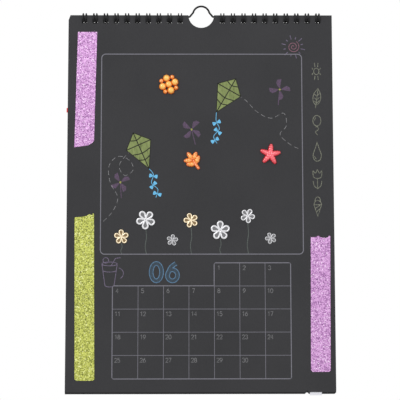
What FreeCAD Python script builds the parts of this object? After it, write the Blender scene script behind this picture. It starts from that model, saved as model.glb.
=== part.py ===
import FreeCAD
import Part
import math
import os

from FreeCAD import Vector

# A4 wall calendar of black card, bound along its top edge with twin-loop wire and hung
# by a bent wire hanger. Sizes are in millimetres. The page faces -Y, +Z is up, and the
# origin is the inside top of the hanger's hump, where the nail or hook carries it.

# Sheets
page_width = 210.0
page_height = 297.0
sheet_thickness = 0.22
board_thickness = 0.6
following_sheets = 6
turned_sheets = 5
clip_width = 1.5
clip_height = 4.0
worn_corner = 1.2
nick_from_right = 24.3
nick_width = 3.2
nick_depth = 1.2

# Punching along the top edge, three holes to the inch
hole_pitch = 25.4 / 3.0
hole_size = 4.0
hole_corner = 0.8
hole_margin = 2.7
edge_land = 4.0
first_loop = 2
punch_offset = 0.75
notch_radius = 10.2

# Twin-loop wire combs
ring_diameter = 9.5
comb_wire = 0.9
twin_spacing = 2.35
root_bend = 1.2
root_angle = 0.0
tooth_length = 24.0

# Hanger wire
hanger_wire = 1.5
hanger_length = 150.0
hump_radius = 6.6
hump_over_edge = 8.05
shoulder_bend = 3.5
shoulder_steep = 72.0
shoulder_slope = 50.0
foot_bend = 1.0
leg_under_edge = 0.5

# How the sheets lie in the rings
ring_over_edge = 2.4
stack_drop = 1.5
leg_clearance = 0.15
page_front = 2.95

# Print on the front page, from its edges
ink_thickness = 0.05
border_line = 0.7
border_left = 26.3
border_right = 24.1
border_top = 31.2
border_corner = 3.6
border_to_grid = 6.6
grid_left = 36.5
grid_right = 34.75
grid_bottom = 10.4
grid_columns = 7
grid_rows = 5
row_height = 17.85
first_row_cells = 3
grid_line = 0.38
grid_corner = 2.0
kite_length = 31.0
kite_width = 21.0

# Glitter tape, its places from the page's edges
tape_width = 15.3
tape_thickness = 0.3
tape_tooth_depth = 0.35
tape_blunt = 1.2
upper_tape_left = 7.6
upper_tape_top = 13.5
upper_tape_length = 92.7
upper_tape_lean = -2.0
green_tape_left = 6.2
green_tape_bottom = 9.0
green_tape_length = 129.7
green_tape_lean = 1.3
lower_tape_right = 3.3
lower_tape_bottom = 15.5
lower_tape_length = 105.5
lower_tape_lean = -0.9

# Stickers and the slips that stick out between the sheets
sticker_base = 0.3
gem_size = 16.5
sprig_length = 17.0
large_flower = 15.5
middle_flower = 11.8
small_flower = 9.3
petal_end = 0.13
petal_root = 0.06
petal_root_out = 0.115
petal_tube = 0.05
slip_thickness = 0.3
red_slip_width = 5.9
red_slip_height = 3.6
red_slip_past = 0.9
red_slip_down = 74.8
pale_slip_width = 9.2
pale_slip_height = 9.0
pale_slip_past = 1.0
pale_slip_right = 11.2

# Levels worked out from the sizes above
hanger_radius = hanger_wire / 2.0
comb_radius = comb_wire / 2.0
ring_radius = ring_diameter / 2.0 - comb_radius
peak_z = hanger_radius
page_top = peak_z - hump_over_edge
ring_z = page_top + ring_over_edge - ring_diameter / 2.0
leg_z = page_top - leg_under_edge
stack_top = page_top - stack_drop
page_left = -page_width / 2.0 - punch_offset
leg_gap = hanger_radius + leg_clearance
following_thickness = following_sheets * sheet_thickness
turned_thickness = turned_sheets * sheet_thickness
front_face = -page_front
page_back = front_face + sheet_thickness
following_face = -leg_gap - following_thickness
board_back = leg_gap + board_thickness
hole_reach = page_width / 2.0 - punch_offset - edge_land - hole_size / 2.0
loops_per_comb = int(hole_reach / hole_pitch) + 1 - first_loop
border_width = page_width - border_left - border_right
grid_top = page_height - grid_bottom - grid_rows * row_height
border_height = grid_top - border_to_grid - border_top
column_width = (page_width - grid_left - grid_right) / grid_columns


def loop_positions():
    """Middle of each pair of wires; the notch takes the places nearest the middle."""
    last_loop = first_loop + loops_per_comb
    right = [step * hole_pitch for step in range(first_loop, last_loop)]
    left = [-x for x in reversed(right)]
    return left, right


def page_point(across, down, y=0.0):
    """A place on the front page, measured from its left and top edges."""
    return Vector(page_left + across, y, page_top - down)


def plate(points, back, thickness):
    """A flat piece of the outline given in X and Z, standing from back towards -Y."""
    outline = [Vector(x, back, z) for x, z in points]
    face = Part.Face(Part.makePolygon(outline + [outline[0]]))
    return face.extrude(Vector(0, -thickness, 0))


def rounded_plate(left, top, width, height, corner, back, thickness):
    """A rectangle with round corners, standing from back towards -Y."""
    box = Part.makeBox(width, thickness, height)
    box.translate(Vector(left, back - thickness, top - height))
    upright = [e for e in box.Edges if abs(e.tangentAt(e.FirstParameter).y) > 0.9]
    return box.makeFillet(corner, upright) if corner > 0.0 else box


def sheet_outline(top):
    """Corners of a sheet: upper left clipped, lower right worn, a nick in the lower edge."""
    left = page_left
    right = page_left + page_width
    bottom = top - page_height
    nick = right - nick_from_right
    return [
        (left, bottom),
        (left, top - clip_height),
        (left + clip_width, top),
        (right, top),
        (right, bottom + worn_corner),
        (right - worn_corner, bottom),
        (nick + nick_width, bottom),
        (nick + 0.6 * nick_width, bottom + nick_depth),
        (nick + 0.3 * nick_width, bottom + 0.8 * nick_depth),
        (nick, bottom),
    ]


def punched_sheet(top, back, thickness):
    """A sheet or block of sheets with its row of holes and the thumb notch."""
    body = plate(sheet_outline(top), back, thickness)
    over = thickness + 2.0
    notch = Part.makeCylinder(notch_radius, over, Vector(0, back + 1.0, top), Vector(0, -1, 0))
    left, right = loop_positions()
    cutters = [notch]
    for x in left + right:
        hole = rounded_plate(
            x - hole_size / 2.0, top - hole_margin, hole_size, hole_size,
            hole_corner, back + 1.0, over)
        cutters.append(hole)
    return body.cut(Part.makeCompound(cutters)).Solids[0]


def around_ring(angle, x):
    """A point on the ring's centre line; 0 is its back, 90 its top, 180 its front."""
    turn = math.radians(angle)
    return Vector(x, ring_radius * math.cos(turn), ring_z + ring_radius * math.sin(turn))


def along_ring(angle):
    """Direction of a loop's wire where it passes the angle, going up over the top."""
    turn = math.radians(angle)
    return Vector(0, -math.sin(turn), math.cos(turn))


def quarter_bend(start, heading, sideways, radius):
    """A bend from heading to sideways, both unit vectors at right angles."""
    centre = start + sideways * radius
    middle = centre + (heading - sideways) * (radius * math.sqrt(0.5))
    end = centre + heading * radius
    return Part.Arc(start, middle, end).toShape(), end


def comb_path(positions):
    """Centre line of one comb: hairpin teeth joined by the wide bends at their roots."""
    half = twin_spacing / 2.0
    tip_angle = root_angle + math.degrees(tooth_length / ring_radius)
    half_way = (root_angle + tip_angle) / 2.0
    up = along_ring(root_angle)
    across = Vector(1, 0, 0)
    edges = []
    for number, x in enumerate(positions):
        rising = [around_ring(a, x - half) for a in (root_angle, half_way, tip_angle)]
        falling = [around_ring(a, x + half) for a in (tip_angle, half_way, root_angle)]
        tip = around_ring(tip_angle, x) + along_ring(tip_angle) * half
        edges.append(Part.Arc(*rising).toShape())
        edges.append(Part.Arc(rising[2], tip, falling[0]).toShape())
        edges.append(Part.Arc(*falling).toShape())
        if number == len(positions) - 1:
            continue
        bend, low = quarter_bend(falling[2], -up, across, root_bend)
        edges.append(bend)
        far = Vector(positions[number + 1] - half - root_bend, low.y, low.z)
        edges.append(Part.LineSegment(low, far).toShape())
        rise, _ = quarter_bend(far, across, up, root_bend)
        edges.append(rise)
    return Part.Wire(edges)


def swept_wire(path, radius):
    """Round wire along a path of tangent arcs and straight runs."""
    start = path.Edges[0]
    heading = start.tangentAt(start.FirstParameter)
    origin = start.valueAt(start.FirstParameter)
    section = Part.Face(Part.Wire(Part.makeCircle(radius, origin, heading)))
    return path.makePipe(section)


def wire_comb(positions):
    return swept_wire(comb_path(positions), comb_radius)


def hanger_half():
    """Centre line of the hanger's right half, from the hump's top to the leg's end."""
    hump_z = peak_z - hump_radius
    lean = math.radians(90.0 - shoulder_steep)
    steep = math.radians(shoulder_steep)
    slope = math.radians(shoulder_slope)
    meet = Vector(hump_radius * math.cos(lean), 0, hump_z + hump_radius * math.sin(lean))
    crown = math.radians(45.0) + lean / 2.0
    over = Vector(hump_radius * math.cos(crown), 0, hump_z + hump_radius * math.sin(crown))
    bend_centre = meet + Vector(math.sin(steep), 0, math.cos(steep)) * shoulder_bend
    middle = (steep + slope) / 2.0
    bend_middle = bend_centre - Vector(math.sin(middle), 0, math.cos(middle)) * shoulder_bend
    bend_end = bend_centre - Vector(math.sin(slope), 0, math.cos(slope)) * shoulder_bend
    foot_rise = foot_bend * (1.0 - math.cos(slope))
    run_drop = bend_end.z - leg_z - foot_rise
    run_end = bend_end + Vector(run_drop / math.tan(slope), 0, -run_drop)
    foot_end = Vector(run_end.x + foot_bend * math.sin(slope), 0, leg_z)
    half_slope = slope / 2.0
    foot_middle = Vector(
        foot_end.x - foot_bend * math.sin(half_slope), 0,
        leg_z + foot_bend * (1.0 - math.cos(half_slope)))
    leg_end = Vector(hanger_length / 2.0, 0, leg_z)
    return [
        Part.Arc(Vector(0, 0, peak_z), over, meet).toShape(),
        Part.Arc(meet, bend_middle, bend_end).toShape(),
        Part.LineSegment(bend_end, run_end).toShape(),
        Part.Arc(run_end, foot_middle, foot_end).toShape(),
        Part.LineSegment(foot_end, leg_end).toShape(),
    ]


def hanger():
    """Hump, sloping shoulders and straight legs, bent from one wire."""
    right = swept_wire(Part.Wire(hanger_half()), hanger_radius)
    left = right.mirror(Vector(0, 0, 0), Vector(1, 0, 0))
    return right.fuse(left).removeSplitter().Solids[0]


def rounded_frame(left, top, width, height, corner, line):
    """A drawn line of even width round a rectangle."""
    outer = rounded_plate(left, top, width, height, corner, front_face, ink_thickness)
    inner = rounded_plate(
        left + line, top - line, width - 2.0 * line, height - 2.0 * line,
        corner - line, front_face + 1.0, ink_thickness + 2.0)
    return outer.cut(inner)


def picture_border():
    corner = page_point(border_left, border_top)
    return rounded_frame(
        corner.x, corner.z, border_width, border_height, border_corner, border_line).Solids[0]


def date_grid():
    """Lines of the month's days in a stronger outline; the first row has only its last cells."""
    corner = page_point(grid_left, grid_top)
    half = grid_line / 2.0
    outer = border_line - half
    width = grid_columns * column_width
    height = grid_rows * row_height
    first_width = first_row_cells * column_width
    lower = rounded_plate(
        corner.x - outer, corner.z - row_height + outer, width + 2.0 * outer,
        height - row_height + 2.0 * outer, grid_corner, front_face, ink_thickness)
    upper = rounded_plate(
        corner.x + width - first_width - outer, corner.z + outer, first_width + 2.0 * outer,
        2.0 * row_height, grid_corner, front_face, ink_thickness)
    cells = []
    for row in range(grid_rows):
        for column in range(grid_columns):
            if row == 0 and column < grid_columns - first_row_cells:
                continue
            cell = Part.makeBox(column_width - grid_line, ink_thickness + 2.0, row_height - grid_line)
            cell.translate(Vector(
                corner.x + column * column_width + half, front_face - ink_thickness - 1.0,
                corner.z - (row + 1) * row_height + half))
            cells.append(cell)
    return lower.fuse(upper).cut(Part.makeCompound(cells)).removeSplitter().Solids[0]


def tape(outline):
    """A strip of glitter tape of the outline given on the page."""
    points = [page_point(across, down) for across, down in outline]
    return plate([(p.x, p.z) for p in points], front_face, tape_thickness)


def serrated_end(left, top):
    """Points of an end cut by a tape dispenser's teeth, from left to right."""
    count = 19
    step = tape_width / count
    points = []
    for tooth in range(count):
        points.append((left + tooth * step, top + tape_tooth_depth))
        points.append((left + (tooth + 0.5) * step, top))
    points.append((left + tape_width, top + tape_tooth_depth))
    return points


def torn_end(left, top, shape):
    """Points of an end torn by hand; the shape is in shares of the tape's width."""
    return [(left + across * tape_width, top + down * tape_width) for across, down in shape]


def blunt_end(left, bottom):
    """Points of a lower end with its corners rubbed off, from right to left."""
    right = left + tape_width
    return [
        (right, bottom - tape_blunt), (right - tape_blunt, bottom),
        (left + tape_blunt, bottom), (left, bottom - tape_blunt)]


def pink_tape_upper():
    """Leans a little to the left going down, its lower right corner torn up."""
    end = torn_end(upper_tape_left + upper_tape_lean, upper_tape_top + upper_tape_length, [
        (1.01, -0.33), (0.92, -0.22), (0.71, -0.1), (0.46, -0.06), (0.0, 0.0)])
    return tape(serrated_end(upper_tape_left, upper_tape_top) + end)


def green_tape():
    """Its upper end is torn in steps that climb to the right."""
    bottom = page_height - green_tape_bottom
    torn = torn_end(green_tape_left, bottom - green_tape_length, [
        (0.01, 0.235), (0.03, 0.21), (0.37, 0.19), (0.63, 0.137), (0.75, 0.04), (0.89, 0.105),
        (0.95, 0.0), (1.0, 0.046)])
    return tape(torn + blunt_end(green_tape_left + green_tape_lean, bottom))


def pink_tape_lower():
    left = page_width - lower_tape_right - tape_width
    bottom = page_height - lower_tape_bottom
    torn = torn_end(left, bottom - lower_tape_length, [
        (0.0, 0.065), (0.09, 0.085), (0.27, 0.07), (0.39, 0.007), (0.52, 0.085), (0.73, 0.124),
        (0.88, 0.078), (0.94, 0.0), (1.0, 0.013)])
    return tape(torn + blunt_end(left + lower_tape_lean, bottom))


def stuck_on(forms, reach, bases=()):
    """Joins the raised forms of a sticker and its bases, cut off flat at the page."""
    whole = forms[0].fuse(forms[1:])
    if bases:
        whole = whole.fuse(bases)
    block = Part.makeBox(4.0 * reach, 2.0 * reach, 4.0 * reach)
    centre = whole.BoundBox.Center
    block.translate(Vector(centre.x - 2.0 * reach, front_face - 2.0 * reach, centre.z - 2.0 * reach))
    return whole.common(block).Solids[0]


def spot(across, down, distance=0.0, angle=0.0):
    """A point on the page's face, at a distance and an angle from a place on the page."""
    turn = math.radians(angle)
    base = page_point(across, down, front_face)
    return base + Vector(distance * math.cos(turn), 0, distance * math.sin(turn))


def dome(centre, radius):
    return Part.makeSphere(radius, centre)


def beads(across, down, turn, start, sizes, crowding):
    """Overlapping domes in a row outwards from a place, as on a ribbed petal or leaf."""
    row = []
    distance = start
    for number, radius in enumerate(sizes):
        if number > 0:
            distance += crowding * (sizes[number - 1] + radius)
        row.append(dome(spot(across, down, distance, turn), radius))
    return row


def petal_wire(across, down, diameter, angle):
    """Drop-shaped loop round a large circle at a petal's end and a small one at its root."""
    lift = Vector(0, -0.4 * petal_tube * diameter, 0)
    end_radius = petal_end * diameter
    root_radius = petal_root * diameter
    end_out = (0.5 - petal_tube) * diameter - end_radius
    root_out = petal_root_out * diameter
    end = spot(across, down, end_out, angle) + lift
    root = spot(across, down, root_out, angle) + lift
    meet = math.degrees(math.acos((root_radius - end_radius) / (end_out - root_out)))

    def around(centre, radius, degrees):
        turn = math.radians(angle + degrees)
        return centre + Vector(radius * math.cos(turn), 0, radius * math.sin(turn))

    outer = [around(end, end_radius, a) for a in (-meet, 0.0, meet)]
    inner = [around(root, root_radius, a) for a in (meet, 180.0, -meet)]
    return Part.Wire([
        Part.Arc(*outer).toShape(),
        Part.LineSegment(outer[2], inner[0]).toShape(),
        Part.Arc(*inner).toShape(),
        Part.LineSegment(inner[2], outer[0]).toShape(),
    ])


def flower_sticker(across, down, diameter, turn):
    """Five open petals, each a loop of half-round bead over a thin base."""
    rings = []
    bases = []
    for petal in range(5):
        path = petal_wire(across, down, diameter, turn + 72.0 * petal)
        edge = path.Edges[0]
        start = edge.valueAt(edge.FirstParameter)
        heading = edge.tangentAt(edge.FirstParameter)
        ring = Part.Wire(Part.makeCircle(petal_tube * diameter, start, heading))
        rings.append(path.makePipe(Part.Face(ring)))
        base = Part.Face(path)
        base.translate(Vector(0, front_face - base.BoundBox.YMax, 0))
        bases.append(base.extrude(Vector(0, -sticker_base, 0)))
    return stuck_on(rings, diameter, bases)


def star_sticker(across, down, diameter, turn):
    """Five ribbed arms, each a row of shrinking domes, round a middle dome."""
    sizes = [diameter * share for share in (0.155, 0.14, 0.12, 0.09)]
    parts = [dome(spot(across, down), 0.15 * diameter)]
    start = diameter * 0.11
    for arm in range(5):
        parts.extend(beads(across, down, turn + 72.0 * arm, start, sizes, 0.42))
    return stuck_on(parts, diameter)


def rosette_sticker(across, down, diameter, turn):
    """Four large and four small domes round a middle one."""
    large = 0.178 * diameter
    small = 0.112 * diameter
    parts = [dome(spot(across, down), 0.172 * diameter)]
    for quarter in range(4):
        angle = turn + 90.0 * quarter
        parts.append(dome(spot(across, down, diameter / 2.0 - 1.05 * large, angle), large))
        parts.append(dome(spot(across, down, diameter / 2.0 - small, angle + 45.0), small))
    return stuck_on(parts, diameter)


def sprig_sticker(across, down, length, turn):
    """A beaded stem with two pairs of ribbed leaves and one at its end."""
    bead = 0.078 * length
    stem = [bead] * 7
    leaf = [length * share for share in (0.09, 0.125, 0.115, 0.08)]
    crowding = 0.4
    half = crowding * bead * len(stem)
    parts = beads(across, down, turn, -half - 1.5 * bead, stem, crowding)
    parts.extend(beads(across, down, turn, half, leaf, crowding))
    for along in (-0.5 * half, 0.45 * half):
        root = spot(0.0, 0.0, along, turn) - spot(0.0, 0.0)
        for side in (-1.0, 1.0):
            parts.extend(beads(
                across + root.x, down - root.z, turn + side * 58.0, 1.2 * bead, leaf, crowding))
    return stuck_on(parts, length)


def kite_field(across, down, turn):
    """A drawn kite: a four-cornered field of colour, its cross at a third of its length."""
    centre = page_point(*in_picture(across, down))
    tilt = math.radians(turn)
    corners = []
    shape = [(0.0, 0.4), (0.5, 0.06), (0.0, -0.6), (-0.5, 0.06)]
    for sideways, upward in [(x * kite_width, z * kite_length) for x, z in shape]:
        corners.append((
            centre.x + sideways * math.cos(tilt) - upward * math.sin(tilt),
            centre.z + sideways * math.sin(tilt) + upward * math.cos(tilt)))
    return plate(corners, front_face, ink_thickness)


def slip(left, top, width, height):
    """A scrap stuck to the sheet behind the front page, showing past its edge."""
    corner = page_point(left, top)
    return rounded_plate(corner.x, corner.z, width, height, 0.0, following_face, slip_thickness)


def in_picture(across, down):
    """A place in the picture's border, given in shares of its width and height."""
    return border_left + across * border_width, border_top + down * border_height


def sheets():
    return {
        "june_page": punched_sheet(page_top, page_back, sheet_thickness),
        "following_pages": punched_sheet(stack_top, -leg_gap, following_thickness),
        "back_board": punched_sheet(stack_top, board_back, board_thickness),
        "turned_pages": punched_sheet(
            stack_top, board_back + turned_thickness, turned_thickness),
    }


def binding():
    left, right = loop_positions()
    return {
        "wire_comb_left": wire_comb(left),
        "wire_comb_right": wire_comb(right),
        "hanger": hanger(),
    }


def flowers():
    """Places in shares of the picture, diameters and turns of the flower stickers."""
    return [
        (0.105, 0.913, middle_flower, 20.0), (0.224, 0.829, large_flower, 50.0),
        (0.355, 0.929, small_flower, 10.0), (0.446, 0.832, middle_flower, 35.0),
        (0.59, 0.882, large_flower, 18.0), (0.725, 0.81, middle_flower, 62.0),
        (0.838, 0.92, small_flower, 40.0)]


def slips():
    pale_left = page_width - pale_slip_right - pale_slip_width
    pale_top = page_height + stack_drop + pale_slip_past - pale_slip_height
    return {
        "red_slip": slip(-red_slip_past, red_slip_down, red_slip_width, red_slip_height),
        "pale_slip": slip(pale_left, pale_top, pale_slip_width, pale_slip_height),
    }


def decoration():
    kites = [kite_field(0.192, 0.469, 24.0), kite_field(0.631, 0.193, -30.0)]
    pieces = {
        "picture_border": picture_border(),
        "date_grid": date_grid(),
        "kite_fields": Part.makeCompound(kites),
        "glitter_tape_pink_upper": pink_tape_upper(),
        "glitter_tape_green": green_tape(),
        "glitter_tape_pink_lower": pink_tape_lower(),
        "star_sticker_red": star_sticker(*in_picture(0.838, 0.506), gem_size, 12.0),
        "rosette_sticker_orange": rosette_sticker(*in_picture(0.336, 0.155), gem_size, 20.0),
        "sprig_sticker_orange": sprig_sticker(*in_picture(0.462, 0.544), sprig_length, 125.0),
    }
    pieces.update(slips())
    for number, (across, down, diameter, turn) in enumerate(flowers(), 1):
        place = in_picture(across, down)
        pieces["flower_sticker_%d" % number] = flower_sticker(*place, diameter, turn)
    return pieces


def write_parts():
    os.makedirs("parts", exist_ok=True)
    pieces = {}
    pieces.update(sheets())
    pieces.update(binding())
    pieces.update(decoration())
    for name, shape in pieces.items():
        shape.exportStep("parts/%s.step" % name)


write_parts()
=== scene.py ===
import math

import bmesh
import bpy
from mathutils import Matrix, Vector

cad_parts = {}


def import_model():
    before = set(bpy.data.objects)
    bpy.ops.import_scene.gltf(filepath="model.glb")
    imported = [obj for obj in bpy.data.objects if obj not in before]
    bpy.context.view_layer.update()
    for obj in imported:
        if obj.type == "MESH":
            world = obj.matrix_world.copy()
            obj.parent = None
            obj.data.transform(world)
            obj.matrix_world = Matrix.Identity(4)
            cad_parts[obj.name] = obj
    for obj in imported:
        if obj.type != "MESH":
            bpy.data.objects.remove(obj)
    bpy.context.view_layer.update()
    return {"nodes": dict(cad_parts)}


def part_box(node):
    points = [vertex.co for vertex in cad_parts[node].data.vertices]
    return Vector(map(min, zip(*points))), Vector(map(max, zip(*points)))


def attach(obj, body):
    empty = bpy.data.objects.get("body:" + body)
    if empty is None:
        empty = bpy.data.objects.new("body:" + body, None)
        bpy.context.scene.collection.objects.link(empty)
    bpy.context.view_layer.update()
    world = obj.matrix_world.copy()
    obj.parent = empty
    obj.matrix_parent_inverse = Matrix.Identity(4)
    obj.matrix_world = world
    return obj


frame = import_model()

MM = 0.001
PAGE = "june_page"
SHEET_THICKNESS = 0.22 * MM

page_low, page_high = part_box(PAGE)
PAGE_LEFT = page_low.x
PAGE_TOP = page_high.z
PAGE_FACE = page_low.y

# Places on the front page in millimetres from its left and top edges, as in the solids.
# A kite also has its length, width and turn in degrees, a flower its diameter.
GRID_LEFT = 36.5
GRID_TOP = 197.35
CELL_WIDTH = 19.82
CELL_HEIGHT = 17.85
BORDER_BOTTOM = 190.75
KITES = ((56.94, 106.05, 31.0, 21.0, 24.0), (127.0, 62.0, 31.0, 21.0, -30.0))
FLOWERS = (
    (43.1, 176.9, 11.8), (62.1, 163.5, 15.5), (83.0, 179.5, 9.3), (97.5, 164.0, 11.8),
    (120.5, 172.0, 15.5), (142.0, 160.5, 11.8), (160.0, 178.0, 9.3))

# Heights of the drawing over the page in millimetres. The lines of one piece take
# STEP_COUNT levels in turn, STEP_UP apart, so that lines that cross share no plane.
INK_HEIGHT = 0.03
STEP_UP = 0.003
STEP_COUNT = 5
OVER_FIELD = 0.05

WHITE = (1.0, 1.0, 1.0, 1.0)


def srgb(red, green, blue):
    """A colour of 0 to 255 values as the shaders take it."""
    def linear(value):
        value /= 255.0
        return value / 12.92 if value <= 0.04045 else ((value + 0.055) / 1.055) ** 2.4
    return (linear(red), linear(green), linear(blue), 1.0)


# Materials

# Sockets of the colour mixing node, which are known by number alone
MIX_SHARE = 0
MIX_FIRST = 6
MIX_SECOND = 7
MIXED = 2

CARD_SPECULAR = 0.2
COAT_SPECULAR = 0.25
# Heights over the page between which the foil and gem colours go from painted shade to painted highlight.
FOIL_HOLLOW = 0.12 * MM
FOIL_RIM = 0.85 * MM
GEM_HOLLOW = 0.2 * MM


class Shader:
    """A node material being put together."""

    def __init__(self, name):
        self.material = bpy.data.materials.new(name)
        self.material.use_nodes = True
        self.tree = self.material.node_tree
        self.tree.nodes.clear()
        self.output = self.add("ShaderNodeOutputMaterial")
        self.surface = self.add("ShaderNodeBsdfPrincipled")
        self.link(self.surface, "BSDF", self.output, "Surface")
        self.place = self.add("ShaderNodeTexCoord")

    def add(self, kind, inputs=None, **settings):
        node = self.tree.nodes.new(kind)
        for key, value in settings.items():
            setattr(node, key, value)
        for key, value in (inputs or {}).items():
            node.inputs[key].default_value = value
        return node

    def link(self, source, out, target, into):
        self.tree.links.new(source.outputs[out], target.inputs[into])

    def set(self, **values):
        for key, value in values.items():
            self.surface.inputs[key.replace("_", " ")].default_value = value

    def mapped(self, scale, turn=(0.0, 0.0, 0.0)):
        mapping = self.add("ShaderNodeMapping")
        mapping.inputs["Scale"].default_value = scale
        mapping.inputs["Rotation"].default_value = turn
        self.link(self.place, "Object", mapping, "Vector")
        return mapping

    def noise(self, scale, detail=3.0, roughness=0.6, mapping=None):
        noise = self.add("ShaderNodeTexNoise", {
            "Scale": scale, "Detail": detail, "Roughness": roughness})
        if mapping is None:
            self.link(self.place, "Object", noise, "Vector")
        else:
            self.link(mapping, "Vector", noise, "Vector")
        return noise

    def ramp(self, source, out, stops):
        ramp = self.add("ShaderNodeValToRGB")
        points = ramp.color_ramp.elements
        while len(points) < len(stops):
            points.new(0.5)
        for point, (position, colour) in zip(points, stops):
            point.position = position
            point.color = colour
        self.link(source, out, ramp, "Fac")
        return ramp

    def spread(self, source, out, low, high, start=0.0, end=1.0):
        spread = self.add("ShaderNodeMapRange", {
            "From Min": start, "From Max": end, "To Min": low, "To Max": high})
        self.link(source, out, spread, "Value")
        return spread

    def mix(self, first, first_out, second, second_out, share=1.0, blend="MIX"):
        mix = self.add("ShaderNodeMix", data_type="RGBA", blend_type=blend)
        mix.inputs[MIX_SHARE].default_value = share
        self.link(first, first_out, mix, MIX_FIRST)
        self.link(second, second_out, mix, MIX_SECOND)
        return mix

    def bump(self, source, out, strength, distance, under=None):
        bump = self.add("ShaderNodeBump", {"Strength": strength, "Distance": distance})
        self.link(source, out, bump, "Height")
        if under is not None:
            self.link(under, "Normal", bump, "Normal")
        return bump

    def done(self, colour, colour_out, rough=None, bump=None):
        self.link(colour, colour_out, self.surface, "Base Color")
        if rough is not None:
            self.link(rough, "Result", self.surface, "Roughness")
        if bump is not None:
            self.link(bump, "Normal", self.surface, "Normal")
        return self.material


def card(name, dark, light, leaf=None):
    """Matte dyed card; leaf is the thickness of one sheet, whose joins are drawn as lines of painted shade
    on the cut edges of a block.
    """
    shader = Shader(name)
    fibre = shader.noise(1400.0, 4.0, 0.65, shader.mapped((1.0, 1.0, 0.55)))
    cloud = shader.noise(22.0, 2.0, 0.5)
    grain = shader.mix(fibre, "Color", cloud, "Color", 0.45)
    colour = shader.ramp(grain, MIXED, [(0.3, dark), (0.7, light)])
    rough = shader.spread(fibre, "Fac", 0.74, 0.92, 0.3, 0.7)
    bump = shader.bump(fibre, "Fac", 0.35, 0.04 * MM)
    shader.set(Specular_IOR_Level=CARD_SPECULAR)
    if leaf is None:
        return shader.done(colour, "Color", rough, bump)
    split = shader.add("ShaderNodeSeparateXYZ")
    shader.link(shader.place, "Object", split, "Vector")
    count = shader.add("ShaderNodeMath", {1: 1.0 / leaf}, operation="MULTIPLY")
    shader.link(split, "Y", count, 0)
    wave = shader.add("ShaderNodeMath", {1: 0.5}, operation="PINGPONG")
    shader.link(count, "Value", wave, 0)
    edge = shader.spread(wave, "Value", 0.0, 1.0, 0.0, 0.16)
    # Painted shade in the gaps between the sheets: a dark line at each join on the block's cut edges.
    painted_gap_shade = shader.ramp(edge, "Result", [(0.0, (0.25, 0.25, 0.25, 1.0)), (1.0, WHITE)])
    striped = shader.mix(colour, "Color", painted_gap_shade, "Color", blend="MULTIPLY")
    grooves = shader.bump(edge, "Result", 0.6, 0.08 * MM, bump)
    return shader.done(striped, MIXED, rough, grooves)


def coated_wire(name, dark, light, shine):
    """Wire with a thin smooth coat, rubbed a little along its length."""
    shader = Shader(name)
    rub = shader.noise(420.0, 3.0, 0.6)
    colour = shader.ramp(rub, "Fac", [(0.35, dark), (0.75, light)])
    rough = shader.spread(rub, "Fac", shine, shine + 0.16, 0.3, 0.7)
    bump = shader.bump(shader.noise(2600.0, 2.0), "Fac", 0.08, 0.02 * MM)
    shader.set(Specular_IOR_Level=COAT_SPECULAR)
    return shader.done(colour, "Color", rough, bump)


def pencil(name, dark, light, gaps=0.42):
    """A drawn line whose pigment catches on the card's grain."""
    shader = Shader(name)
    grain = shader.noise(1900.0, 3.0, 0.7)
    colour = shader.ramp(grain, "Fac", [(gaps, dark), (gaps + 0.16, light)])
    rough = shader.spread(grain, "Fac", 0.6, 0.9, 0.3, 0.7)
    bump = shader.bump(grain, "Fac", 0.25, 0.03 * MM)
    shader.set(Specular_IOR_Level=COAT_SPECULAR)
    return shader.done(colour, "Color", rough, bump)


def crayon_field(name, gap, mid, light, turn):
    """Colour rubbed on in strokes that lie one way."""
    shader = Shader(name)
    strokes = shader.noise(520.0, 4.0, 0.65, shader.mapped((1.0, 1.0, 0.22), (0.0, turn, 0.0)))
    grain = shader.noise(1800.0, 3.0, 0.7)
    mixed = shader.mix(strokes, "Color", grain, "Color", 0.35)
    colour = shader.ramp(mixed, MIXED, [(0.36, gap), (0.46, mid), (0.66, light)])
    rough = shader.spread(grain, "Fac", 0.65, 0.9, 0.3, 0.7)
    bump = shader.bump(mixed, MIXED, 0.3, 0.04 * MM)
    shader.set(Specular_IOR_Level=COAT_SPECULAR)
    return shader.done(colour, "Color", rough, bump)


def glitter(name, low, mid, high, painted_glint):
    """Fine metallic flakes under a clear film, each flake with its own tilt and tone; the palest flakes are
    a painted glint.
    """
    shader = Shader(name)
    flakes = shader.add("ShaderNodeTexVoronoi", {"Scale": 1500.0, "Randomness": 1.0})
    shader.link(shader.place, "Object", flakes, "Vector")
    tone = shader.add("ShaderNodeSeparateColor")
    shader.link(flakes, "Color", tone, "Color")
    # The top of this ramp is a painted glint on the palest flakes.
    colour = shader.ramp(tone, "Red", [
        (0.0, low), (0.32, mid), (0.72, high), (0.9, high), (1.0, painted_glint)])
    rough = shader.spread(tone, "Green", 0.16, 0.42)
    bump = shader.bump(tone, "Blue", 0.5, 0.12 * MM)
    shader.set(Metallic=0.25, Coat_Weight=0.25, Coat_Roughness=0.08)
    return shader.done(colour, "Color", rough, bump)


def gem(name, painted_hollow_shade, body, painted_top_highlight, height):
    """Clear tinted resin with painted shade in the hollows between its domes and a painted highlight on
    their tops.
    """
    shader = Shader(name)
    split = shader.add("ShaderNodeSeparateXYZ")
    shader.link(shader.place, "Object", split, "Vector")
    raised = shader.spread(split, "Y", 0.0, 1.0, PAGE_FACE - GEM_HOLLOW, PAGE_FACE - height)
    swirl = shader.noise(260.0, 2.0, 0.5)
    mixed = shader.mix(raised, "Result", swirl, "Color", 0.22)
    # Painted shade in the hollows and a painted highlight on the domes' tops, by height over the page.
    colour = shader.ramp(mixed, MIXED, [(0.08, painted_hollow_shade), (0.42, body), (0.85, painted_top_highlight)])
    rough = shader.spread(swirl, "Fac", 0.06, 0.16, 0.3, 0.7)
    bump = shader.bump(shader.noise(700.0, 2.0), "Fac", 0.12, 0.06 * MM)
    shader.set(Coat_Weight=1.0, Coat_Roughness=0.03, IOR=1.5)
    return shader.done(colour, "Color", rough, bump)


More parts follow.
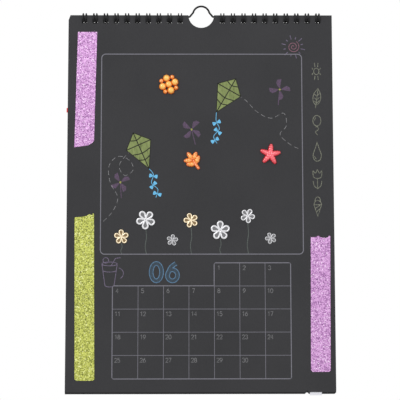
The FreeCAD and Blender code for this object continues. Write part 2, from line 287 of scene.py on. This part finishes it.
def foiled(name, painted_low_shade, mid, painted_rim_highlight):
    """A raised sticker with a shiny foil over it, with painted shade low down towards the page and a
    painted highlight on its rims.
    """
    shader = Shader(name)
    split = shader.add("ShaderNodeSeparateXYZ")
    shader.link(shader.place, "Object", split, "Vector")
    raised = shader.spread(split, "Y", 0.0, 1.0, PAGE_FACE - FOIL_HOLLOW, PAGE_FACE - FOIL_RIM)
    speck = shader.noise(900.0, 2.0, 0.6)
    mixed = shader.mix(raised, "Result", speck, "Color", 0.2)
    # Painted shade low on the sticker and a painted highlight on the rims' tops, by height over the page.
    colour = shader.ramp(mixed, MIXED, [(0.16, painted_low_shade), (0.5, mid), (0.86, painted_rim_highlight)])
    rough = shader.spread(speck, "Fac", 0.14, 0.3, 0.3, 0.7)
    bump = shader.bump(speck, "Fac", 0.1, 0.04 * MM)
    shader.set(Metallic=0.35, Coat_Weight=0.6, Coat_Roughness=0.05)
    return shader.done(colour, "Color", rough, bump)


BLACK_FRONT = card("black_card_front", srgb(50, 50, 52), srgb(60, 60, 62))
BLACK_BLOCK = card("black_card_block", srgb(48, 48, 50), srgb(60, 60, 62), SHEET_THICKNESS)
BLACK_BOARD = card("black_board", srgb(44, 44, 46), srgb(56, 56, 58))
COMB_WIRE = coated_wire("comb_wire", srgb(12, 12, 13), srgb(24, 24, 26), 0.4)
HANGER_WIRE = coated_wire("hanger_wire", srgb(16, 16, 17), srgb(30, 30, 32), 0.5)
PRINT_LINE = pencil("print_line", srgb(100, 99, 106), srgb(122, 121, 130), 0.34)
NUMBER_INK = pencil("number_ink", srgb(92, 92, 94), srgb(132, 132, 134))
NUMERAL_EDGE = pencil("numeral_edge", srgb(72, 104, 132), srgb(100, 136, 166))
NUMERAL_FILL = pencil("numeral_fill", srgb(52, 60, 68), srgb(64, 84, 100), 0.45)
CHALK = pencil("chalk", srgb(90, 92, 82), srgb(140, 142, 126), 0.44)
LILAC = pencil("lilac_pencil", srgb(84, 78, 96), srgb(128, 116, 140))
ROSE = pencil("rose_pencil", srgb(96, 72, 84), srgb(150, 104, 120))
STEM = pencil("stem_pencil", srgb(72, 77, 75), srgb(98, 106, 102))
DASHES = pencil("dash_pencil", srgb(86, 86, 88), srgb(150, 150, 152))
PURPLE = pencil("purple_pencil", srgb(70, 62, 72), srgb(98, 78, 104), 0.4)
YELLOW = pencil("yellow_pencil", srgb(110, 112, 60), srgb(176, 178, 90))
BLUE = pencil("blue_pen", srgb(74, 140, 186), srgb(116, 196, 238), 0.36)
DARK = pencil("dark_pen", srgb(26, 28, 24), srgb(40, 42, 34))
OLIVE = crayon_field("olive_crayon", srgb(74, 84, 50), srgb(118, 130, 80), srgb(150, 162, 104), 0.7)
# The last colour of each glitter is a painted glint.
PINK_GLITTER = glitter(
    "pink_glitter", srgb(128, 76, 136), srgb(180, 124, 184), srgb(220, 168, 222), srgb(248, 224, 249))
GREEN_GLITTER = glitter(
    "green_glitter", srgb(98, 104, 28), srgb(158, 164, 62), srgb(206, 212, 100), srgb(246, 249, 180))
# The first and last colours of each gem are painted shade and painted highlight.
RED_GEM = gem("red_gem", srgb(120, 10, 26), srgb(222, 36, 52), srgb(250, 96, 110), 2.6 * MM)
ORANGE_GEM = gem("orange_gem", srgb(176, 58, 12), srgb(240, 122, 26), srgb(252, 196, 84), 2.8 * MM)
# The first and last colours of each foil are painted shade and painted highlight.
SILVER_FOIL = foiled("silver_foil", srgb(80, 80, 82), srgb(148, 148, 151), srgb(222, 222, 225))
GOLD_FOIL = foiled("gold_foil", srgb(84, 66, 40), srgb(176, 142, 88), srgb(250, 234, 200))
RED_PAPER = pencil("red_paper", srgb(196, 44, 52), srgb(226, 70, 74), 0.3)
PALE_PAPER = pencil("pale_paper", srgb(196, 196, 204), srgb(226, 226, 232), 0.3)


# Drawing on the page

def at(across, down, lift=0.0):
    """A point in front of the page, from its left and top edges and its face."""
    return Vector((PAGE_LEFT + across * MM, PAGE_FACE - lift * MM, PAGE_TOP - down * MM))


def arc(across, down, wide, high, start, end, steps=14):
    """Points along an ellipse; angle 0 is to the right and 90 is up."""
    points = []
    for step in range(steps + 1):
        angle = math.radians(start + (end - start) * step / steps)
        points.append((across + wide * math.cos(angle), down - high * math.sin(angle)))
    return points


def smooth(points, steps=6):
    """A soft curve through the points."""
    ends = [points[0]] + list(points) + [points[-1]]
    curve = []
    for i in range(1, len(ends) - 2):
        a, b, c, d = ends[i - 1:i + 3]
        for step in range(steps):
            t = step / steps
            curve.append(tuple(
                0.5 * (2 * b[k] + (c[k] - a[k]) * t + (2 * a[k] - 5 * b[k] + 4 * c[k] - d[k]) * t * t
                       + (3 * b[k] - a[k] - 3 * c[k] + d[k]) * t ** 3) for k in (0, 1)))
    curve.append(points[-1])
    return curve


def dashes(points, dash, gap):
    """Cuts a line into dashes."""
    pieces = []
    current = [points[0]]
    drawing = True
    left = dash
    for start, end in zip(points, points[1:]):
        run = math.dist(start, end)
        gone = 0.0
        while run - gone > left:
            gone += left
            cut = tuple(start[k] + (end[k] - start[k]) * gone / run for k in (0, 1))
            if drawing:
                pieces.append(current + [cut])
            current = [cut]
            drawing = not drawing
            left = dash if drawing else gap
        left -= run - gone
        if drawing:
            current.append(end)
    if drawing and len(current) > 1:
        pieces.append(current)
    return pieces


def side_steps(points, half, closed):
    """How far each point's two edge points lie to its side, mitred at the corners."""
    count = len(points)
    steps = []
    for i in range(count):
        before = points[i - 1] if i > 0 or closed else points[i]
        after = points[(i + 1) % count] if i < count - 1 or closed else points[i]
        into = Vector((points[i][0] - before[0], points[i][1] - before[1]))
        out = Vector((after[0] - points[i][0], after[1] - points[i][1]))
        into = into.normalized() if into.length > 0 else out.normalized()
        out = out.normalized() if out.length > 0 else into
        along = (into + out).normalized() if (into + out).length > 0.01 else into
        reach = half / max(0.6, along.dot(into))
        steps.append((-along.y * reach, along.x * reach))
    return steps


def add_ribbon(mesh, points, width, base, top, closed=False):
    """A thin closed strip of even width along a line on the page."""
    if closed and math.dist(points[0], points[-1]) < 1e-6:
        points = points[:-1]
    rows = []
    for (across, down), (aside, below) in zip(points, side_steps(points, width / 2.0, closed)):
        rows.append([
            mesh.verts.new(at(across + aside, down + below, base)),
            mesh.verts.new(at(across - aside, down - below, base)),
            mesh.verts.new(at(across - aside, down - below, top)),
            mesh.verts.new(at(across + aside, down + below, top))])
    pairs = list(zip(rows, rows[1:])) + ([(rows[-1], rows[0])] if closed else [])
    for first, second in pairs:
        for k in range(4):
            mesh.faces.new((first[k], first[(k + 1) % 4], second[(k + 1) % 4], second[k]))
    if not closed:
        mesh.faces.new(rows[0][::-1])
        mesh.faces.new(rows[-1])


def add_patch(mesh, outline, base, top):
    """A thin closed plate of the outline given on the page."""
    low = [mesh.verts.new(at(across, down, base)) for across, down in outline]
    high = [mesh.verts.new(at(across, down, top)) for across, down in outline]
    count = len(outline)
    mesh.faces.new(low[::-1])
    mesh.faces.new(high)
    for k in range(count):
        mesh.faces.new((low[k], low[(k + 1) % count], high[(k + 1) % count], high[k]))


def drawn(name, material, strokes=(), loops=(), patches=(), width=0.4, base=0.0, top=None):
    """One piece of drawing that turns with the front page."""
    mesh = bmesh.new()
    top = base + INK_HEIGHT if top is None else top
    lines = [(points, False) for points in strokes] + [(points, True) for points in loops]
    for number, (points, closed) in enumerate(lines):
        add_ribbon(mesh, points, width, base, top + STEP_UP * (number % STEP_COUNT), closed)
    for number, outline in enumerate(patches):
        add_patch(mesh, outline, base, top + STEP_UP * (number % STEP_COUNT))
    bmesh.ops.recalc_face_normals(mesh, faces=mesh.faces)
    data = bpy.data.meshes.new(name)
    mesh.to_mesh(data)
    mesh.free()
    piece = bpy.data.objects.new(name, data)
    bpy.context.scene.collection.objects.link(piece)
    data.materials.append(material)
    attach(piece, PAGE)


# Dates

WEEK = 7
DAYS = 30
BLANK_CELLS = 4
DATE_HEIGHT = 3.2
DATE_SPACING = 0.45
DATE_INSET = 3.5
DATE_INSET_WIDE = 3.9
DATE_DROP = 3.7
NUMERAL_MIDDLE = 76.8
NUMERAL_DOWN = 204.4
NUMERAL_HEIGHT = 13.6
NUMERAL_SPACING = 4.4

# Strokes of the digits, one unit high and DIGIT_WIDTH wide
DIGIT_WIDTH = 0.6
DIGITS = {
    "0": [arc(0.3, 0.5, 0.3, 0.5, 90, 450, 20)],
    "1": [[(0.1, 0.22), (0.36, 0.0), (0.36, 1.0)]],
    "2": [arc(0.3, 0.28, 0.28, 0.28, 175, -25, 12) + [(0.02, 1.0), (0.6, 1.0)]],
    "3": [arc(0.28, 0.25, 0.25, 0.25, 165, -80, 12) + arc(0.28, 0.73, 0.31, 0.27, 85, -165, 14)],
    "4": [[(0.45, 1.0), (0.45, 0.0), (0.0, 0.68), (0.6, 0.68)]],
    "5": [[(0.54, 0.0), (0.1, 0.0), (0.06, 0.44)] + arc(0.28, 0.68, 0.31, 0.32, 125, -155, 14)],
    "6": [smooth([(0.5, 0.0), (0.2, 0.24), (0.02, 0.66)]), arc(0.3, 0.68, 0.29, 0.32, 180, 540, 20)],
    "7": [[(0.02, 0.0), (0.58, 0.0), (0.22, 1.0)]],
    "8": [arc(0.3, 0.25, 0.24, 0.25, 90, 450, 16), arc(0.3, 0.74, 0.3, 0.26, 90, 450, 18)],
    "9": [smooth([(0.1, 1.0), (0.4, 0.76), (0.58, 0.34)]), arc(0.3, 0.32, 0.29, 0.32, 0, 360, 20)],
}


def figure_strokes(text, middle, centre_down, height, spacing):
    """Strokes of a number whose middle and height are given in millimetres."""
    step = DIGIT_WIDTH * height + spacing
    left = middle - (step * len(text) - spacing) / 2.0
    strokes = []
    for place, digit in enumerate(text):
        for stroke in DIGITS[digit]:
            strokes.append([
                (left + place * step + x * height, centre_down + (y - 0.5) * height)
                for x, y in stroke])
    return strokes


def date_numbers():
    """The month's days, each in the upper left of its cell."""
    strokes = []
    for day in range(1, DAYS + 1):
        row, column = divmod(BLANK_CELLS + day - 1, WEEK)
        inset = DATE_INSET if day < 10 else DATE_INSET_WIDE
        middle = GRID_LEFT + column * CELL_WIDTH + inset
        down = GRID_TOP + row * CELL_HEIGHT + DATE_DROP
        strokes.extend(figure_strokes(str(day), middle, down, DATE_HEIGHT, DATE_SPACING))
    drawn("date_numbers", NUMBER_INK, strokes, width=0.42)


def month_numeral():
    """The month's number in broad strokes: a light line all round a darker middle."""
    strokes = []
    loops = []
    for line in figure_strokes("06", NUMERAL_MIDDLE, NUMERAL_DOWN, NUMERAL_HEIGHT, NUMERAL_SPACING):
        closed = math.dist(line[0], line[-1]) < 0.01
        (loops if closed else strokes).append(line)
    drawn("month_numeral_edge", NUMERAL_EDGE, strokes, loops, width=3.5)
    drawn("month_numeral_fill", NUMERAL_FILL, strokes, loops, width=2.3,
          base=INK_HEIGHT, top=2.0 * INK_HEIGHT)


# Picture

# A kite's ends, its widest place and its cross lines, as shares of its length
KITE_TOP = 0.4
KITE_CROSSING = 0.06
KITE_FOOT = -0.6
KITE_CROSS_LINES = (0.24, -0.12, -0.3)

# The strings' dashes in millimetres; the curves' first points lie on the kites, undrawn
DASH = 3.6
DASH_GAP = 2.4
STRING_START = 5

# Half of a bow and one vane of a pinwheel as shares of their size, along it and aside;
# the bows sit at these points of a tail's curve
BOW_LOOP = ((0.0, 0.0), (0.55, 0.42), (1.0, 0.5), (1.08, 0.0), (1.0, -0.5), (0.55, -0.42))
BOW_SIZE = 3.1
BOW_PLACES = (7, 14, 21)
VANE = ((0.06, 0.0), (0.5, 0.04), (1.0, 0.1), (0.86, 0.42), (0.55, 0.5), (0.3, 0.3))
STICK_LENGTH = 12.5

# Place across and down, size in millimetres and turn in degrees
PINWHEELS = ((42.0, 134.0, 8.0, 10.0), (98.0, 92.0, 8.5, 35.0), (168.0, 60.0, 8.5, -15.0))


def on_kite(kite, sideways, upward):
    """A point on a kite, in shares of its width and length from its own place."""
    across, down, length, width, turn = kite
    tilt = math.radians(turn)
    side = sideways * width
    rise = upward * length
    return (across + side * math.cos(tilt) - rise * math.sin(tilt),
            down - side * math.sin(tilt) - rise * math.cos(tilt))


def kite_lines():
    """The edges of the kites and the lines that divide their fields."""
    outlines = []
    spars = []
    for kite in KITES:
        corners = [on_kite(kite, *corner) for corner in (
            (0.0, KITE_TOP), (0.5, KITE_CROSSING), (0.0, KITE_FOOT), (-0.5, KITE_CROSSING))]
        outlines.append(corners)
        spars.append([corners[0], corners[2]])
        spars.append([corners[1], corners[3]])
        for share in KITE_CROSS_LINES:
            end = KITE_TOP if share > KITE_CROSSING else KITE_FOOT
            half = 0.5 * (end - share) / (end - KITE_CROSSING)
            spars.append(smooth([
                on_kite(kite, -half, share), on_kite(kite, 0.0, share - 0.05),
                on_kite(kite, half, share)]))
    drawn("kite_spars", DARK, spars, width=0.75, base=OVER_FIELD)
    drawn("kite_edges", DARK, (), outlines, width=0.6, base=OVER_FIELD)


def bow(centre, turn, size):
    """Two drawn loops of a bow on a kite's tail."""
    outlines = []
    for side in (0.0, math.pi):
        outline = []
        for along, out in BOW_LOOP:
            x = along * size
            y = out * size
            angle = turn + side
            outline.append((
                centre[0] + x * math.cos(angle) - y * math.sin(angle),
                centre[1] + x * math.sin(angle) + y * math.cos(angle)))
        outlines.append(outline)
    return outlines


def kite_tails():
    """A wavy tail under each kite, with three bows on it."""
    tails = (
        smooth([
            on_kite(KITES[0], 0.0, KITE_FOOT), (68.0, 128.0), (66.5, 134.5), (71.5, 139.5),
            (70.0, 146.0)]),
        smooth([
            on_kite(KITES[1], 0.0, KITE_FOOT), (117.5, 85.5), (120.0, 91.5), (115.5, 97.5),
            (118.0, 103.0)]))
    bows = []
    for tail in tails:
        for place in BOW_PLACES:
            along = (tail[place + 1][0] - tail[place - 1][0], tail[place + 1][1] - tail[place - 1][1])
            bows.extend(bow(tail[place], math.atan2(along[1], along[0]) + math.pi / 2.0, BOW_SIZE))
    drawn("kite_tails", BLUE, tails, width=0.45)
    drawn("kite_bows", BLUE, (), (), bows, base=INK_HEIGHT)


def kite_strings():
    """The kites' dashed strings, which curl away to the picture's sides."""
    first = smooth([
        (57.0, 104.0), (47.0, 112.0), (41.0, 121.0), (45.5, 128.5), (52.0, 124.0), (49.0, 116.5),
        (40.0, 113.5), (33.0, 121.0), (34.0, 134.0), (40.0, 146.0), (36.0, 157.0), (28.5, 165.0)], 8)
    second = smooth([
        (127.0, 60.5), (140.0, 68.0), (150.0, 78.0), (161.0, 83.0), (171.0, 79.0), (173.0, 89.0),
        (168.0, 96.0), (176.0, 104.0), (184.5, 108.0)], 8)
    lines = []
    for string in (first, second):
        lines.extend(dashes(string[STRING_START:], DASH, DASH_GAP))
    drawn("kite_strings", DASHES, lines, width=0.4)


def flower_stems():
    """A drawn stem under each taller flower, down to the border's lower line."""
    stems = []
    for across, down, diameter in FLOWERS:
        if diameter < 10.0:
            continue
        start = down + 0.4 * diameter
        drop = BORDER_BOTTOM - start
        stems.append(smooth([
            (across, start), (across + 0.6, start + 0.35 * drop), (across - 0.4, start + 0.7 * drop),
            (across + 0.7, BORDER_BOTTOM)]))
    drawn("flower_stems", STEM, stems, width=0.55)


def pinwheels():
    """Pencilled pinwheels with four vanes, a stick and a yellow hub."""
    vanes = []
    sticks = []
    hubs = []
    for across, down, size, turn in PINWHEELS:
        for quarter in range(4):
            angle = math.radians(turn + 90.0 * quarter)
            vane = []
            for out, aside in VANE:
                vane.append((
                    across + size * (out * math.cos(angle) - aside * math.sin(angle)),
                    down - size * (out * math.sin(angle) + aside * math.cos(angle))))
            vanes.append(vane)
        lean = math.radians(turn) * 0.4
        sticks.append([
            (across, down),
            (across + STICK_LENGTH * math.sin(lean), down + STICK_LENGTH * math.cos(lean))])
        hubs.append(arc(across, down, 0.8, 0.8, 0, 330, 11))
    drawn("pinwheel_vanes", PURPLE, (), (), vanes)
    drawn("pinwheel_sticks", PURPLE, sticks, width=0.7)
    drawn("pinwheel_hubs", YELLOW, (), (), hubs, base=INK_HEIGHT)


# Small drawings in the margins; each figure gives its open strokes and its closed loops

COLUMN_MIDDLE = 197.2
COLUMN_FIRST = 45.4
COLUMN_STEP = 21.5


def sun_figure(middle, down):
    strokes = []
    for ray in range(8):
        angle = math.radians(22.5 + 45.0 * ray)
        near = (middle + 2.8 * math.cos(angle), down - 3.8 * math.sin(angle))
        far = (middle + 3.8 * math.cos(angle), down - 7.4 * math.sin(angle))
        strokes.append([near, far])
    return strokes, [arc(middle, down, 2.1, 2.6, 0, 345, 16)]


def leaf_figure(middle, down):
    edge = smooth([
        (middle + 1.2, down - 7.6), (middle + 3.3, down - 2.0), (middle + 2.2, down + 3.4),
        (middle - 0.8, down + 5.4), (middle - 2.9, down + 1.6), (middle - 2.0, down - 3.6),
        (middle + 1.2, down - 7.6)])[:-1]
    strokes = [smooth([(middle + 1.0, down - 6.2), (middle + 0.2, down), (middle - 1.0, down + 8.0)])]
    for vein in (-2.6, 0.4, 3.0):
        strokes.append([(middle + 0.1, down + vein + 1.0), (middle + 2.2, down + vein - 1.0)])
        strokes.append([(middle + 0.1, down + vein + 1.0), (middle - 1.8, down + vein - 0.6)])
    return strokes, [edge]


def balloon_figure(middle, down):
    knot = [(middle - 0.9, down + 1.9), (middle, down + 0.9), (middle + 0.9, down + 1.9)]
    string = smooth([
        (middle, down + 1.0), (middle + 1.3, down + 3.4), (middle - 1.1, down + 5.6),
        (middle + 0.5, down + 8.0)])
    shine = arc(middle, down - 3.4, 1.8, 2.7, 120, 175, 5)
    return [knot, string, shine], [arc(middle, down - 3.4, 3.2, 4.2, -90, 255, 18)]


def drop_figure(middle, down):
    edge = smooth([
        (middle, down - 7.6), (middle + 1.6, down - 2.6), (middle + 3.2, down + 2.2),
        (middle + 2.4, down + 6.0), (middle, down + 7.4), (middle - 2.4, down + 6.0),
        (middle - 3.2, down + 2.2), (middle - 1.6, down - 2.6), (middle, down - 7.6)])[:-1]
    return [arc(middle - 0.2, down + 3.0, 1.8, 2.6, 190, 260, 6)], [edge]


def tulip_figure(middle, down):
    strokes = []
    for side in (-1.0, 1.0):
        strokes.append(smooth([
            (middle, down - 0.4), (middle + side * 3.0, down - 1.6), (middle + side * 3.4, down - 6.4),
            (middle + side * 1.6, down - 4.6), (middle, down - 7.6)]))
        strokes.append(smooth([
            (middle, down + 7.6), (middle + side * 2.6, down + 5.4), (middle + side * 3.4, down + 1.6)]))
    strokes.append([(middle, down - 0.4), (middle, down + 8.0)])
    return strokes, []


def ice_figure(middle, down):
    strokes = [
        [(middle - 3.0, down - 1.2), (middle, down + 8.0), (middle + 3.0, down - 1.2)],
        [(middle - 3.3, down - 1.2), (middle + 3.3, down - 1.2)],
        arc(middle, down - 1.2, 2.9, 3.4, 0, 180, 10),
        arc(middle, down - 4.2, 2.1, 3.2, -10, 190, 10),
        [(middle - 1.9, down + 1.6), (middle + 1.9, down - 0.8)],
        [(middle - 1.0, down + 4.4), (middle + 2.0, down + 1.6)],
    ]
    return strokes, []


def column_drawings():
    """Six plain summer figures down the right margin, in pale chalk."""
    strokes = []
    loops = []
    figures = (sun_figure, leaf_figure, balloon_figure, drop_figure, tulip_figure, ice_figure)
    for number, figure in enumerate(figures):
        more_strokes, more_loops = figure(COLUMN_MIDDLE, COLUMN_FIRST + COLUMN_STEP * number)
        strokes.extend(more_strokes)
        loops.extend(more_loops)
    drawn("column_drawings", CHALK, strokes, loops, width=0.55)


def cup_drawing():
    """A cup with a straw, a ball and a handle, left of the month's number."""
    left = 28.0
    down = 198.0
    strokes = [
        [(left, down), (left + 2.4, down + 16.5)],
        [(left + 12.0, down), (left + 9.6, down + 16.5)],
        arc(left + 6.0, down + 16.5, 3.6, 1.4, 180, 360, 10),
        arc(left + 6.0, down + 5.0, 5.3, 1.3, 180, 360, 10),
        arc(left + 12.2, down + 7.4, 4.6, 4.4, 78, -62, 12),
        [(left + 7.2, down + 1.4), (left + 10.6, down - 4.4), (left + 14.6, down - 4.9)],
    ]
    loops = [arc(left + 6.0, down, 6.0, 1.5, 0, 345, 18), arc(left + 3.0, down - 2.8, 2.2, 2.2, 0, 345, 14)]
    drawn("cup_drawing", LILAC, strokes, loops, width=0.5)


def swirl_drawing():
    """A small sun with a swirl in it, over the corner of the border."""
    across = 179.0
    down = 25.5
    swirl = []
    for step in range(40):
        angle = math.radians(20.0 * step)
        reach = 0.4 + 0.115 * step
        swirl.append((across + reach * math.cos(angle), down - reach * math.sin(angle)))
    rays = []
    for ray in range(12):
        angle = math.radians(15.0 + 30.0 * ray)
        far = 9.6 if ray % 2 else 8.0
        rays.append([
            (across + 6.2 * math.cos(angle), down - 6.2 * math.sin(angle)),
            (across + far * math.cos(angle), down - far * math.sin(angle))])
    drawn("swirl_rays", LILAC, rays, width=0.6)
    drawn("swirl_sun", ROSE, [swirl], width=0.55)


# Finishes of the solids

FINISHES = {
    "june_page": BLACK_FRONT,
    "following_pages": BLACK_BLOCK,
    "turned_pages": BLACK_BLOCK,
    "back_board": BLACK_BOARD,
    "wire_comb_left": COMB_WIRE,
    "wire_comb_right": COMB_WIRE,
    "hanger": HANGER_WIRE,
    "picture_border": PRINT_LINE,
    "date_grid": PRINT_LINE,
    "kite_fields": OLIVE,
    "glitter_tape_pink_upper": PINK_GLITTER,
    "glitter_tape_pink_lower": PINK_GLITTER,
    "glitter_tape_green": GREEN_GLITTER,
    "star_sticker_red": RED_GEM,
    "rosette_sticker_orange": ORANGE_GEM,
    "sprig_sticker_orange": ORANGE_GEM,
    "red_slip": RED_PAPER,
    "pale_slip": PALE_PAPER,
}


def finish_of(node):
    if node.startswith("flower_sticker"):
        return GOLD_FOIL if node[-1] in "14" else SILVER_FOIL
    return FINISHES[node]


for name, solid in frame["nodes"].items():
    solid.data.materials.clear()
    solid.data.materials.append(finish_of(name))

date_numbers()
month_numeral()
kite_lines()
kite_tails()
kite_strings()
flower_stems()
pinwheels()
column_drawings()
cup_drawing()
swirl_drawing()


# Stage, light and camera, in metres

FLOOR_SIZE = 3.0
FLOOR_LEVEL = -0.55
SOFT_STRENGTH = 0.55
WHITE_STRENGTH = 1.0
LIT_POINT = Vector((0.0, 0.0, -0.15))
CAMERA_PLACE = (-0.0054, -0.7, -0.2088)
CAMERA_LENS = 80.08
CAMERA_SENSOR = 36.0
CAMERA_RISE = 4.394
CAMERA_ROLL = 0.048
CAMERA_YAW = -0.349


def floor():
    bpy.ops.mesh.primitive_plane_add(size=FLOOR_SIZE, location=(0.0, 0.0, FLOOR_LEVEL))
    plane = bpy.context.object
    plane.name = "floor"
    shader = Shader("pale_floor")
    cloud = shader.noise(3.0)
    colour = shader.ramp(cloud, "Fac", [(0.3, srgb(238, 238, 238)), (0.7, srgb(246, 246, 246))])
    plane.data.materials.append(shader.done(colour, "Color"))


def world():
    """White where it is seen straight, in a shine or through something; a softer white as light."""
    studio = bpy.data.worlds.new("studio")
    bpy.context.scene.world = studio
    studio.use_nodes = True
    nodes = studio.node_tree.nodes
    links = studio.node_tree.links
    nodes.clear()
    output = nodes.new("ShaderNodeOutputWorld")
    path = nodes.new("ShaderNodeLightPath")
    mix = nodes.new("ShaderNodeMixShader")
    for socket, strength in ((1, SOFT_STRENGTH), (2, WHITE_STRENGTH)):
        white = nodes.new("ShaderNodeBackground")
        white.inputs["Color"].default_value = WHITE
        white.inputs["Strength"].default_value = strength
        links.new(white.outputs[0], mix.inputs[socket])
    seen = path.outputs["Is Camera Ray"]
    for ray in ("Is Glossy Ray", "Is Transmission Ray"):
        either = nodes.new("ShaderNodeMath")
        either.operation = "MAXIMUM"
        links.new(seen, either.inputs[0])
        links.new(path.outputs[ray], either.inputs[1])
        seen = either.outputs[0]
    links.new(seen, mix.inputs[0])
    links.new(mix.outputs[0], output.inputs["Surface"])


def lamp(name, place, size, power):
    data = bpy.data.lights.new(name, "AREA")
    data.size = size
    data.energy = power
    light = bpy.data.objects.new(name, data)
    light.location = place
    light.rotation_euler = (LIT_POINT - Vector(place)).to_track_quat("-Z", "Y").to_euler()
    bpy.context.scene.collection.objects.link(light)


def camera():
    """Looks a little up at the page from about 5 cm below its middle."""
    data = bpy.data.cameras.new("camera")
    data.sensor_width = CAMERA_SENSOR
    data.lens = CAMERA_LENS
    view = bpy.data.objects.new("camera", data)
    view.location = CAMERA_PLACE
    view.rotation_euler = [math.radians(turn) for turn in (90.0 + CAMERA_RISE, CAMERA_ROLL, CAMERA_YAW)]
    bpy.context.scene.collection.objects.link(view)
    bpy.context.scene.camera = view


floor()
world()
lamp("key", (-0.7, -1.1, 0.6), 0.7, 9.0)
lamp("fill", (0.9, -1.0, 0.1), 0.9, 4.0)
camera()

bpy.context.scene.view_settings.view_transform = "Standard"
